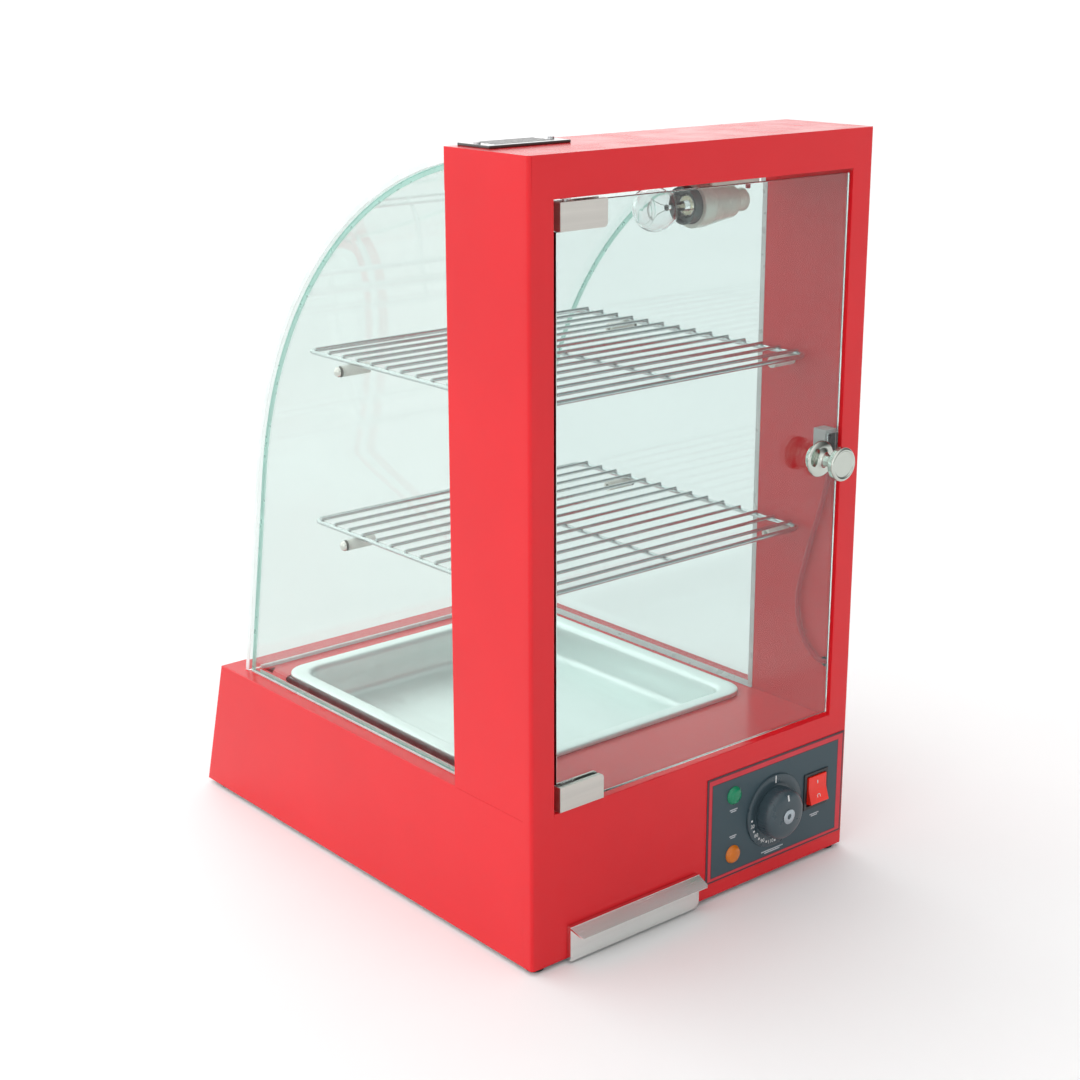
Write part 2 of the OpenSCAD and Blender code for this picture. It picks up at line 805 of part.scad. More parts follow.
module crumb_tray() {
    wall = 1;
    x0 = tray_front_x[0];
    x1 = tray_front_x[1];
    color(steel) in_case() {
        difference() {
            slab(tray_x, [-3.2, tray_y], [1.7, tray_top]);
            slab(tray_x + [wall, -wall], [-3.2 + wall, tray_y - wall], [1.7 + wall, tray_top + 1]);
        }
        difference() {
            across_y([-4.2, -0.5])
                polygon([[x0, -1.5], [x1 - 4, -1.5], [x1, 2.5], [x1, 27.5], [x0, 27.5]]);
            slab([x0 + wall, x1 - wall], [-3.2, 0], [-2, 26.5]);
        }
        intersection() {
            across([x0, x1]) polygon([[-3.2, 27.5], [-4.2, 25.6], [-15, 20.3], [-15.6, 21.5]]);
            linear_extrude(40) polygon([
                [x0, 0], [x0, -4.5], [x0 + 3.5, -16], [x1 - 2, -16], [x1, -13.5], [x1, 0]
            ]);
        }
    }
}

// ---- Door ----

module pivot_bushes() {
    color([0.92, 0.92, 0.9]) in_case() difference() {
        union() {
            rod_z(pivot_x, pivot_y, [open_top - 0.9, open_top], 3.9);
            rod_z(pivot_x, pivot_y, [open_top - 0.5, open_top + 9], bush_r);
            rod_z(pivot_x, pivot_y, [open_low, open_low + 0.9], 3.9);
            rod_z(pivot_x, pivot_y, [open_low - 9, open_low + 0.5], bush_r);
        }
        rod_z(pivot_x, pivot_y, [open_low - 10, open_top + 10], pin_r + 0.05);
    }
}

module pivot_pins() {
    color(steel) in_case() {
        rod_z(pivot_x, pivot_y, [clamp_z[1] + 8, open_top + 8], pin_r);
        rod_z(pivot_x, pivot_y, [open_low - 8, clamp_z[0] + 12], pin_r);
    }
}

// Clamp with its rounded inner corner at the bottom; up = -1 turns it over
module clamp(z, up) {
    corner = 3.5;
    right = clamp_left + clamp_size[0];
    mid_z = z + clamp_size[1] / 2;
    difference() {
        translate([0, clamp_back, mid_z]) rotate([90, 0, 0])
            linear_extrude(clamp_back - clamp_front) scale([1, up]) {
                translate([clamp_left, -clamp_size[1] / 2])
                    square([clamp_size[0] - corner, clamp_size[1]]);
                translate([clamp_left, -clamp_size[1] / 2 + corner])
                    square([clamp_size[0], clamp_size[1] - corner]);
                translate([right - corner, -clamp_size[1] / 2 + corner]) circle(r = corner);
            }
        slab([clamp_left + clamp_block, right + 1], [door_y - 0.6, door_y + door_t + 0.6], [z - 1, z + 30]);
        rod_z(pivot_x, pivot_y, [z + (up > 0 ? 8 : -1), z + (up > 0 ? 21 : 12)], pin_r + 0.01);
        rod_y(clamp_screw_x, [clamp_front + 1.2, clamp_back + 1], mid_z, 2.1);
    }
}

module top_clamp() {
    color(steel) in_case() clamp(clamp_z[1], 1);
}

module bottom_clamp() {
    color(steel) in_case() clamp(clamp_z[0], -1);
}

module clamp_pads() {
    x = [clamp_left + clamp_block + 0.5, clamp_left + clamp_size[0] - 1];
    color(black_plastic) in_case() for (z = clamp_z, y = [door_y - 0.55, door_y + door_t + 0.05])
        difference() {
            slab(x, [y, y + 0.5], [z + 1.5, z + clamp_size[1] - 1.5]);
            rod_y(clamp_screw_x, [0, 20], z + clamp_size[1] / 2, 2.3);
        }
}

module clamp_screws() {
    color(steel) in_case() for (z = clamp_z) {
        rod_y(clamp_screw_x, [clamp_front + 1.5, clamp_back + 0.5], z + clamp_size[1] / 2, 2);
        rod_y(clamp_screw_x, [clamp_back, clamp_back + 2], z + clamp_size[1] / 2, 3.8);
    }
}

module door_glass() {
    notch = clamp_left + clamp_block + 0.4;
    color(glass_tint) in_case() difference() {
        slab([door_left, door_right], [door_y, door_y + door_t], [door_low, door_top]);
        slab([door_left - 1, notch], [0, 20], [clamp_z[1] - 0.6, door_top + 1]);
        slab([door_left - 1, notch], [0, 20], [door_low - 1, clamp_z[0] + clamp_size[1] + 0.6]);
        for (z = clamp_z) rod_y(clamp_screw_x, [0, 20], z + clamp_size[1] / 2, 3);
        rod_y(knob_x, [0, 20], knob_z, 3.2);
    }
}

module door_knob() {
    color(chrome) in_case() translate([knob_x, 0, knob_z]) rotate([90, 0, 0]) rotate_extrude() polygon([
        [0, 1 - door_y - door_t], [2.9, 1 - door_y - door_t], [2.9, 0.1 - door_y], [15, 0.1 - door_y],
        [15, 0.4], [13.5, 1.8], [7, 2.4], [5, 5], [5, 13], [7.5, 17], [12.8, 18.4], [13.8, 19.8],
        [13.8, 23.4], [12.4, knob_reach - 0.2], [11, knob_reach], [10, 24.6], [0, 24.4]
    ]);
}

module knob_nut() {
    back = door_y + door_t;
    color(chrome) in_case() translate([knob_x, 0, knob_z]) rotate([-90, 0, 0]) rotate_extrude() polygon([
        [0, back - 0.9], [2.9, back - 0.9], [2.9, back + 0.1], [10.5, back + 0.1], [10.5, back + 3],
        [8.5, back + 4.5], [0, back + 5]
    ]);
}

module strike_plate() {
    back = door_y + door_t;
    color(steel) in_case() slab([door_right - 9.5, door_right - 0.5], [back, back + 1], about(catch_z, 8));
}

module magnetic_catch() {
    color([0.72, 0.74, 0.73]) in_case() {
        slab([open_x - 12.5, open_x], [9, 22], about(catch_z, 10.5));
        slab([open_x - 11, open_x - 2], [8, 10], about(catch_z, 7));
    }
}

// ---- Shelves and pan ----

module shelf(z) {
    w = frame_wire / 2;
    c = cross_wire / 2;
    turn = 8;
    y0 = shelf_y[0];
    y1 = shelf_y[1];
    wires = floor((y1 - y0 - 2 * turn - 4) / wire_pitch);
    first = (y0 + y1 - wires * wire_pitch) / 2;
    cross_z = z + w + c - 0.6;
    color(chrome) in_case() {
        for (side = [-1, 1]) rod_y(side * shelf_x, [y0 + turn, y1 - turn], z, w);
        for (y = shelf_y) rod_x([-shelf_x + turn, shelf_x - turn], y, z, w);
        bend([shelf_x - turn, y1 - turn, z], turn, 0, w);
        bend([-shelf_x + turn, y1 - turn, z], turn, 90, w);
        bend([-shelf_x + turn, y0 + turn, z], turn, 180, w);
        bend([shelf_x - turn, y0 + turn, z], turn, 270, w);
        for (i = [0 : wires]) rod_x([-shelf_x - 1, shelf_x + 1], first + i * wire_pitch, cross_z, c);
        rod_y(0, [y0, y1], cross_z - 2 * c + 0.5, c);
    }
}

shelf_lift = peg_r + frame_wire / 2 + clear;

module upper_shelf() {
    shelf(peg_z[1] + shelf_lift);
}

module lower_shelf() {
    shelf(peg_z[0] + shelf_lift);
}

module food_pan() {
    sheet = 1;
    low = deck_z + clear;
    top = low + pan_lip;
    color(steel) in_case() translate([0, pan_y, 0]) difference() {
        union() {
            translate([0, 0, low]) linear_extrude(pan_lip) round_rect(pan_rim, 22);
            translate([0, 0, top - pan_depth]) linear_extrude(pan_depth) round_rect(well, 18);
        }
        difference() {
            translate([0, 0, low - 1]) linear_extrude(pan_lip + 1 - sheet)
                round_rect(pan_rim - [2, 2] * sheet, 22 - sheet);
            translate([0, 0, top - pan_depth]) linear_extrude(pan_depth) round_rect(well, 18);
        }
        translate([0, 0, top - pan_depth + sheet]) linear_extrude(pan_depth)
            round_rect(well - [2, 2] * sheet, 18 - sheet);
    }
}

left_post();
right_post();
header();
front_panel();
left_side_panel();
right_side_panel();
customer_panel();
deck();
bottom_plate();
left_glass();
right_glass();
curved_glass();
glass_seals();
vent_grille();
grille_screws();
lamp_holder();
lamp_socket();
lamp_bulb();
lamp_base();
peg_sleeves();
peg_screws();
heat_box();
heating_element();
element_clips();
heat_shield();
thermostat_body();
capillary();
dial_ring();
control_plate();
rocker_housing();
rocker_button();
green_indicator();
orange_indicator();
terminal_block();
inner_wiring();
lamp_lead();
lead_grommets();
mains_gland();
feet();
underside_screws();
tray_guides();
crumb_tray();
pivot_bushes();
pivot_pins();
top_clamp();
bottom_clamp();
clamp_pads();
clamp_screws();
door_glass();
door_knob();
knob_nut();
strike_plate();
magnetic_catch();
thermostat_shaft();
thermostat_knob();
knob_badge();
upper_shelf();
lower_shelf();
food_pan();
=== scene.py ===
import json
import math

import bmesh
import bpy
from mathutils import Matrix, Vector


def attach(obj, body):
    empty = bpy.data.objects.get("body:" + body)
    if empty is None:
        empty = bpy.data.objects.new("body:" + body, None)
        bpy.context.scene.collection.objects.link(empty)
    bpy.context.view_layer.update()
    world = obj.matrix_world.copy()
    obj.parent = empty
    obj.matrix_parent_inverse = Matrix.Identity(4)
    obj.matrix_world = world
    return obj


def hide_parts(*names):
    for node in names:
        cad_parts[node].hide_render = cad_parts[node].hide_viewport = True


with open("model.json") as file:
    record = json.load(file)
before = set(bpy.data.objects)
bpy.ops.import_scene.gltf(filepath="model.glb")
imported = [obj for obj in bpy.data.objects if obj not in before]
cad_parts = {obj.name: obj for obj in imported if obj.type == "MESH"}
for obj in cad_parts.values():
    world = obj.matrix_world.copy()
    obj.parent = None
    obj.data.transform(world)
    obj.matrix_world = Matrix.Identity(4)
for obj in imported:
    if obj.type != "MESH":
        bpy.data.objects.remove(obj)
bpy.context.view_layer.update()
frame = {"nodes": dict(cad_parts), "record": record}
nodes = frame["nodes"]
slot_of = {s["node"]: s["material_slot"] for s in frame["record"]["subparts"]}
body_of = {n: b for b, ns in frame["record"]["behaviour"]["bodies"].items() for n in ns}

FRONT_Y, FOOT_H = -0.225, 0.004  # the door face and the case's underside


def case(x, y, z):
    """A point given in millimetres from the door face and the case's underside."""
    return Vector((x / 1000, y / 1000 + FRONT_Y, z / 1000 + FOOT_H))


# ---------------------------------------------------------------- camera
YAW, PITCH, ROLL = math.radians(39.96), math.radians(16.94), math.radians(-0.17)
ahead = Vector((math.sin(YAW) * math.cos(PITCH), math.cos(YAW) * math.cos(PITCH), -math.sin(PITCH)))
side = Vector((math.cos(YAW), -math.sin(YAW), 0))
top = side.cross(ahead)
right = side * math.cos(ROLL) + top * math.sin(ROLL)
upward = top * math.cos(ROLL) - side * math.sin(ROLL)
cam_data = bpy.data.cameras.new("camera")
cam_data.lens, cam_data.sensor_width = 63.68, 36
cam = bpy.data.objects.new("camera", cam_data)
bpy.context.scene.collection.objects.link(cam)
place = Matrix((right, upward, -ahead)).transposed().to_4x4()
place.translation = case(-997.7, -992.8, 735.8)
cam.matrix_world = place
bpy.context.scene.camera = cam


# ---------------------------------------------------------------- materials
class Nodes:
    """A material's node tree, with short calls for the nodes used here."""

    def __init__(self, name):
        self.mat = bpy.data.materials.new(name)
        self.mat.use_nodes = True
        self.tree = self.mat.node_tree
        self.shader = self.tree.nodes["Principled BSDF"]
        self.coords = self.tree.nodes.new("ShaderNodeTexCoord").outputs["Object"]

    def link(self, a, b):
        self.tree.links.new(a, b)

    def set(self, **sockets):
        for name, value in sockets.items():
            self.shader.inputs[name.replace("_", " ")].default_value = value

    def stretched(self, scale):
        if scale == (1, 1, 1):
            return self.coords
        m = self.tree.nodes.new("ShaderNodeMapping")
        m.inputs["Scale"].default_value = scale
        self.link(self.coords, m.inputs["Vector"])
        return m.outputs["Vector"]

    def noise(self, scale, detail=3, rough=0.5, stretch=(1, 1, 1)):
        n = self.tree.nodes.new("ShaderNodeTexNoise")
        n.inputs["Scale"].default_value = scale
        n.inputs["Detail"].default_value = detail
        n.inputs["Roughness"].default_value = rough
        self.link(self.stretched(stretch), n.inputs["Vector"])
        return n.outputs["Fac"]

    def cells(self, scale):
        n = self.tree.nodes.new("ShaderNodeTexVoronoi")
        n.inputs["Scale"].default_value = scale
        self.link(self.coords, n.inputs["Vector"])
        return n.outputs["Color"]

    def span(self, value, low, high, start=0.3, end=0.7):
        """Maps a value from start..end to low..high."""
        n = self.tree.nodes.new("ShaderNodeMapRange")
        for name, v in (("From Min", start), ("From Max", end), ("To Min", low), ("To Max", high)):
            n.inputs[name].default_value = v
        self.link(value, n.inputs["Value"])
        return n.outputs["Result"]

    def blend(self, value, a, b):
        """Mixes two colours, or colour sockets, by a value."""
        n = self.tree.nodes.new("ShaderNodeMix")
        n.data_type = "RGBA"
        self.link(value, n.inputs["Factor"])
        for socket, c in ((n.inputs[6], a), (n.inputs[7], b)):
            if isinstance(c, (tuple, list)):
                socket.default_value = (*c[:3], 1)
            else:
                self.link(c, socket)
        return n.outputs[2]

    def colour(self, value, a, b):
        self.link(self.blend(value, a, b), self.shader.inputs["Base Color"])

    def roughness(self, value):
        self.link(value, self.shader.inputs["Roughness"])

    def bump(self, height, distance):
        n = self.tree.nodes.new("ShaderNodeBump")
        n.inputs["Distance"].default_value = distance
        n.inputs["Strength"].default_value = 1.0
        self.link(height, n.inputs["Height"])
        self.link(n.outputs["Normal"], self.shader.inputs["Normal"])


def shade(c, k):
    return tuple(min(1, v * k) for v in c)


def paint(name, base, rough=0.22, texture=0.0000004, grain=300, coat=0.0):
    """Sprayed or powder-coated metal: slight colour drift, orange peel, uneven gloss."""
    m = Nodes(name)
    m.set(Specular_IOR_Level=0.34, Coat_Weight=coat, Coat_Roughness=0.05)
    m.colour(m.span(m.noise(9, 4), 0, 1), shade(base, 0.96), shade(base, 1.04))
    m.roughness(m.span(m.noise(35, 5), rough - 0.04, rough + 0.05))
    m.bump(m.noise(grain, 2), texture)
    return m.mat


def metal(name, base, rough, stretch=(1, 1, 1), grain=300, depth=0.00001, drift=0.08):
    """Bare metal, with a grain drawn out along one axis where it is brushed."""
    m = Nodes(name)
    m.set(Metallic=1.0)
    m.colour(m.span(m.noise(18, 4, 0.6, stretch), 0, 1), shade(base, 1 - drift), shade(base, 1 + drift / 2))
    m.roughness(m.span(m.noise(grain, 4, 0.6, stretch), rough * 0.8, rough * 1.25))
    m.bump(m.noise(grain, 5, 0.65, stretch), depth)
    return m.mat


def plastic(name, base, rough, grain=1200, depth=0.00001, **sockets):
    """Moulded plastic: fine texture and uneven gloss."""
    m = Nodes(name)
    m.set(**sockets)
    m.colour(m.span(m.noise(40, 4), 0, 1), shade(base, 0.92), shade(base, 1.06))
    m.roughness(m.span(m.noise(120, 4), rough * 0.85, rough * 1.2))
    m.bump(m.noise(grain, 3), depth)
    return m.mat


def clear(name, tint, drift=0.006, ior=1.45):
    """Clear glass, with a faint drift in its tint as wiped glass has."""
    m = Nodes(name)
    m.set(Transmission_Weight=1.0, IOR=ior, Roughness=0.0)
    m.colour(m.span(m.noise(14, 5, 0.6, (1, 1, 0.35)), 0, 1, 0.4, 0.75), tint, shade(tint, 1 - drift))
    return m.mat


def galvanised(name):
    m = Nodes(name)
    m.set(Metallic=1.0)
    m.colour(m.cells(160), (0.42, 0.44, 0.46), (0.6, 0.62, 0.64))
    m.roughness(m.span(m.cells(160), 0.28, 0.5, 0, 1))
    m.bump(m.noise(500, 3), 0.00001)
    return m.mat


RED = (0.68, 0.008, 0.015)
mats = {
    "red_paint": paint("red_paint", RED, coat=0.05),
    "cabinet_glass": clear("cabinet_glass", (0.850, 0.915, 0.895)),
    "door_glass": clear("door_glass", (0.78, 0.86, 0.85)),
    "bulb_glass": clear("bulb_glass", (0.98, 0.985, 0.985)),
    "clear_sealant": plastic("clear_sealant", (0.80, 0.84, 0.83), 0.3, Transmission_Weight=0.25, IOR=1.42),
    "black_plastic": plastic(
        "black_plastic", (0.02, 0.024, 0.022), 0.12, Coat_Weight=1.0, Coat_Roughness=0.04
    ),
    "switch_plastic": plastic("switch_plastic", (0.018, 0.019, 0.022), 0.35),
    "dial_plastic": plastic("dial_plastic", (0.040, 0.066, 0.080), 0.3),
    "foot_rubber": plastic("foot_rubber", (0.02, 0.02, 0.02), 0.8, 600, 0.00004),
    "chrome": metal("chrome", (0.54, 0.58, 0.53), 0.1, grain=120, depth=0.000002, drift=0.02),
    "shelf_wire": metal("shelf_wire", (0.62, 0.65, 0.65), 0.2, grain=200, depth=0.000004, drift=0.05),
    "satin_steel": metal("satin_steel", (0.62, 0.60, 0.56), 0.34, (0.15, 1, 8), 260, 0.000008),
    "tray_steel": metal("tray_steel", (0.82, 0.83, 0.81), 0.22, (0.1, 2, 6), 240, 0.000006),
    "pan_steel": metal("pan_steel", (0.80, 0.87, 0.85), 0.38, (1, 0.12, 1), 260, 0.000006, 0.06),
    "screw_steel": metal("screw_steel", (0.6, 0.61, 0.62), 0.28),
    "galvanised_sheet": galvanised("galvanised_sheet"),
    "element_sheath": metal("element_sheath", (0.17, 0.155, 0.145), 0.55, drift=0.3),
    "copper_tube": metal("copper_tube", (0.72, 0.4, 0.27), 0.25),
    "lamp_ceramic": plastic("lamp_ceramic", (0.88, 0.93, 0.83), 0.25, 500, 0.00001, Coat_Weight=0.3),
    "lamp_brass": metal("lamp_brass", (0.70, 0.64, 0.48), 0.25),
    "socket_metal": plastic("socket_metal", (0.14, 0.165, 0.16), 0.4, Metallic=0.6),
    "cream_plastic": plastic("cream_plastic", (0.82, 0.82, 0.76), 0.4),
    "control_field": paint("control_field", (0.040, 0.072, 0.088), 0.36, 0.000004, 1500),
    "green_lens": plastic("green_lens", (0.0, 0.27, 0.12), 0.2, Transmission_Weight=0.2),
    "orange_lens": plastic("orange_lens", (0.74, 0.19, 0.006), 0.2, Transmission_Weight=0.2),
    "rocker_red": plastic("rocker_red", (0.90, 0.022, 0.010), 0.2),
    "white_plastic": plastic("white_plastic", (0.8, 0.8, 0.78), 0.45),
    "blue_wire": plastic("blue_wire", (0.05, 0.06, 0.3), 0.4),
    "red_lead": plastic("red_lead", (0.52, 0.006, 0.020), 0.4, 2500, 0.00004),
    "catch_grey": plastic("catch_grey", (0.5, 0.52, 0.51), 0.4),
    "badge_metal": metal("badge_metal", (0.42, 0.48, 0.52), 0.25, grain=500),
}
pale_edge = plastic("pale_edge", (0.88, 0.97, 0.94), 0.45, 700, 0.000004, Transmission_Weight=0.2, IOR=1.5)
green_edge = plastic("green_edge", (0.24, 0.56, 0.47), 0.35, 700, 0.000004, Transmission_Weight=0.2, IOR=1.5)
# Greener band on the panes' faces along the curve: a painted reflection of the glass edge's green
painted_edge_reflection = plastic("painted_edge_reflection", (0.46, 0.74, 0.66), 0.3, 700, 0.000004, Transmission_Weight=0.55, IOR=1.5)
print_white = plastic("print_white", (0.72, 0.74, 0.74), 0.5)
print_red = plastic("print_red", (0.62, 0.022, 0.04), 0.45)
print_maroon = plastic("print_maroon", (0.10, 0.012, 0.02), 0.45)
print_grey = plastic("print_grey", (0.46, 0.49, 0.52), 0.5)
tungsten = metal("tungsten", (0.62, 0.62, 0.60), 0.4)

for name, node in nodes.items():
    for s in node.material_slots:
        s.material = mats[slot_of[name]]


# ---------------------------------------------------------------- mesh tools
def bevel(bm, edges, offset, segments=2, **more):
    """Rounds edges over, by an offset in metres."""
    bmesh.ops.bevel(bm, geom=edges, offset=offset, segments=segments, profile=0.5, affect="EDGES", **more)


def finish_piece(name, bm, body, slot, *stands_for, materials=None, smooth=40, weigh=False):
    """Turns a bmesh into a piece that rides on a body and stands for CAD nodes."""
    bmesh.ops.recalc_face_normals(bm, faces=bm.faces)
    mesh = bpy.data.meshes.new(name)
    bm.to_mesh(mesh)
    bm.free()
    for p in mesh.polygons:
        p.use_smooth = True
    mesh.set_sharp_from_angle(angle=math.radians(smooth))
    glass = "glass" in slot
    for p in mesh.polygons:
        if glass and p.area > 0.001 and len(p.vertices) > 4:
            p.use_smooth = False  # a wide pane with blended normals would bend what is seen through it
    for m in materials or [mats[slot]]:
        mesh.materials.append(m)
    piece = bpy.data.objects.new(name, mesh)
    bpy.context.scene.collection.objects.link(piece)
    if weigh and not glass:
        w = piece.modifiers.new("even_normals", "WEIGHTED_NORMAL")
        w.keep_sharp = True
    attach(piece, body)
    if stands_for:
        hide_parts(*stands_for)
    if glass:
        piece.visible_shadow = False
    return piece


def soften(node, width=0.0004, shortest=0.0025, segments=2, split=(), keep=None, **more):
    """A copy of a sheet or block node with its long edges rounded over."""
    bm = bmesh.new()
    bm.from_mesh(nodes[node].data)
    bmesh.ops.remove_doubles(bm, verts=bm.verts, dist=1e-5)
    bmesh.ops.dissolve_limit(bm, angle_limit=math.radians(0.3), verts=bm.verts, edges=bm.edges)
    for point, normal in split:
        everything = bm.verts[:] + bm.edges[:] + bm.faces[:]
        bmesh.ops.bisect_plane(bm, geom=everything, plane_co=point, plane_no=normal, dist=1e-6)
    edges = [
        e
        for e in bm.edges
        if len(e.link_faces) == 2
        and e.calc_face_angle(0) > math.radians(30)
        and e.calc_length() > shortest
        and not (keep and keep(*[v.co for v in e.verts]))
    ]
    bevel(bm, edges, width, segments, clamp_overlap=True)
    return finish_piece(node + "_shape", bm, body_of[node], slot_of[node], node, weigh=True, **more)


def ring_loop(bm, points):
    return [bm.verts.new(p) for p in points]


def bridge(bm, a, b):
    """Faces between two closed rings of as many points."""
    for i in range(len(a)):
        j = (i + 1) % len(a)
        bm.faces.new((a[i], a[j], b[j], b[i]))


def circle(centre, u, v, r, sides):
    """Points round a centre, in the plane of the unit vectors u and v."""
    turn = [2 * math.pi * k / sides for k in range(sides)]
    return [centre + (u * math.cos(a) + v * math.sin(a)) * r for a in turn]


def tube(bm, points, r, sides=14, round_ends=True):
    """A round rod along points, in metres, with slightly rounded ends."""
    pts = [Vector(p) for p in points]
    stations = []
    if round_ends:
        first, last = (pts[1] - pts[0]).normalized(), (pts[-1] - pts[-2]).normalized()
        for k in (0.0, 0.3):
            stations.append((pts[0] + first * r * k, r * (0.6 if k == 0 else 0.92)))
        stations.append((pts[0] + first * r * 0.8, r))
        stations += [(p, r) for p in pts[1:-1]]
        stations.append((pts[-1] - last * r * 0.8, r))
        for k in (0.3, 0.0):
            stations.append((pts[-1] - last * r * k, r * (0.6 if k == 0 else 0.92)))
    else:
        stations = [(p, r) for p in pts]
    centre = [s[0] for s in stations]
    count = len(centre)
    normal = None
    loops = []
    for i, (p, radius) in enumerate(stations):
        d = (centre[min(i + 1, count - 1)] - centre[max(i - 1, 0)]).normalized()
        if normal is None:
            normal = d.orthogonal().normalized()
        normal = (normal - d * normal.dot(d)).normalized()
        loops.append(ring_loop(bm, circle(p, normal, d.cross(normal), radius, sides)))
    for a, b in zip(loops, loops[1:]):
        bridge(bm, a, b)
    bm.faces.new(loops[0])
    bm.faces.new(loops[-1])


def lathe(bm, profile, origin, axis, sides=96):
    """Revolves (radius, distance) pairs, in millimetres, round an axis through origin."""
    axis = Vector(axis).normalized()
    u = axis.orthogonal().normalized()
    v = axis.cross(u)
    turn = [2 * math.pi * k / sides for k in range(sides)]
    spokes = [u * math.cos(a) + v * math.sin(a) for a in turn]
    loops = []
    for r, h in profile:
        centre = Vector(origin) + axis * h / 1000
        if r < 1e-6:
            loops.append([bm.verts.new(centre)])
            continue
        loops.append(ring_loop(bm, [centre + spoke * r / 1000 for spoke in spokes]))
    for a, b in zip(loops, loops[1:]):
        if len(a) == 1 and len(b) == 1:
            continue
        if len(a) == 1 or len(b) == 1:
            hub, rim = (a[0], b) if len(a) == 1 else (b[0], a)
            for i in range(sides):
                bm.faces.new((hub, rim[i], rim[(i + 1) % sides]))
        else:
            bridge(bm, a, b)
    return loops


def arc(cx, cy, r, a0, a1, n):
    """Points of an arc as (x, y), from angle a0 to a1 in degrees."""
    angles = [math.radians(a0 + (a1 - a0) * k / n) for k in range(n + 1)]
    return [(cx + r * math.cos(a), cy + r * math.sin(a)) for a in angles]


def rounded(hx, hy, r, n=8):
    """A rounded rectangle's outline round the origin, as (x, y)."""
    r = max(r, 0.01)
    out = []
    for sx, sy, a in ((1, 1, 0), (-1, 1, 90), (-1, -1, 180), (1, -1, 270)):
        out += arc(sx * (hx - r), sy * (hy - r), r, a, a + 90, n)
    return out


def block(bm, x, y, z, width=0.0003, segments=2):
    """A box in case millimetres, with rounded edges."""
    lo, hi = case(x[0], y[0], z[0]), case(x[1], y[1], z[1])
    made = bmesh.ops.create_cube(bm, size=1)["verts"]
    for v in made:
        v.co = Vector([lo[i] if v.co[i] < 0 else hi[i] for i in range(3)])
    edges = list({e for v in made for e in v.link_edges})
    if width:
        bevel(bm, edges, width, segments)


def spline(points, n):
    """A smooth curve through points, n steps between neighbours."""
    pts = [Vector(p) for p in points]
    out = []
    for i in range(len(pts) - 1):
        p, q, r, s = pts[max(i - 1, 0)], pts[i], pts[i + 1], pts[min(i + 2, len(pts) - 1)]
        for k in range(n):
            t = k / n
            square, cube = 2 * p - 5 * q + 4 * r - s, 3 * q - p - 3 * r + s
            out.append(0.5 * (2 * q + (r - p) * t + square * t * t + cube * t**3))
    return out + [pts[-1]]


# ---------------------------------------------------------------- red sheet metal
OPEN_X, DECK_Z, OPEN_TOP = 0.1525, case(0, 0, 122).z, case(0, 0, 579.5).z


def at_height(z, beyond=0.0):
    """True for an edge at a height and further out than an x, where two panels meet as one surface."""

    def lies_there(a, b):
        level = abs(a.z - z) < 2e-5 and abs(b.z - z) < 2e-5
        return level and min(abs(a.x), abs(b.x)) > beyond - 1e-5

    return lies_there


def either(*tests):
    return lambda a, b: any(t(a, b) for t in tests)


cuts = [(Vector((s * OPEN_X, 0, 0)), Vector((1, 0, 0))) for s in (-1, 1)]
for post in ("left_post", "right_post"):
    soften(post, 0.0006, 0.004, keep=either(at_height(DECK_Z), at_height(OPEN_TOP)))
soften("header", 0.0007, 0.004, 3, split=cuts, keep=at_height(OPEN_TOP, OPEN_X))
soften("front_panel", 0.0005, 0.004, split=cuts, keep=at_height(DECK_Z, OPEN_X))
for panel in ("left_side_panel", "right_side_panel", "customer_panel"):
    soften(panel, 0.0003, 0.004)
soften("deck", 0.0003, 0.004)
soften("bottom_plate", 0.0003, 0.004)


# ---------------------------------------------------------------- glass
# The curved glass leans in from its foot, runs straight, then bends round to the header
LEAN_DEG = 10
LEAN = math.radians(LEAN_DEG)
GLASS_FOOT, STRAIGHT, BEND_R = (418, 122), 195, 358
LEAN_UP = Vector((-math.sin(LEAN), math.cos(LEAN)))
LEAN_IN = Vector((-math.cos(LEAN), -math.sin(LEAN)))


def glass_line(inset, start_z=122.2, end_y=93.2, n=72):
    """The curved glass's (y, z) line, in case millimetres, at an inset from its outer face."""
    r = BEND_R - inset
    foot = Vector(GLASS_FOOT) + LEAN_IN * inset
    spring = foot + LEAN_UP * STRAIGHT
    centre = spring + LEAN_IN * r
    low = foot + LEAN_UP * ((start_z - foot.y) / LEAN_UP.y)
    stop = math.degrees(math.acos((end_y - centre.x) / r))
    straight = [tuple(low + (spring - low) * k / 12) for k in range(12)]
    return straight + arc(centre.x, centre.y, r, LEAN_DEG, stop, n)


def d_outline(inset, margin=0.0):
    """The side glass's (y, z) outline, set in from the curved glass and from its straight edges."""
    y, z = 93.2 + margin, 122.2 + margin
    line = glass_line(inset, z, y)
    return [(y, z), *line[:-1], (y, line[-1][1])]


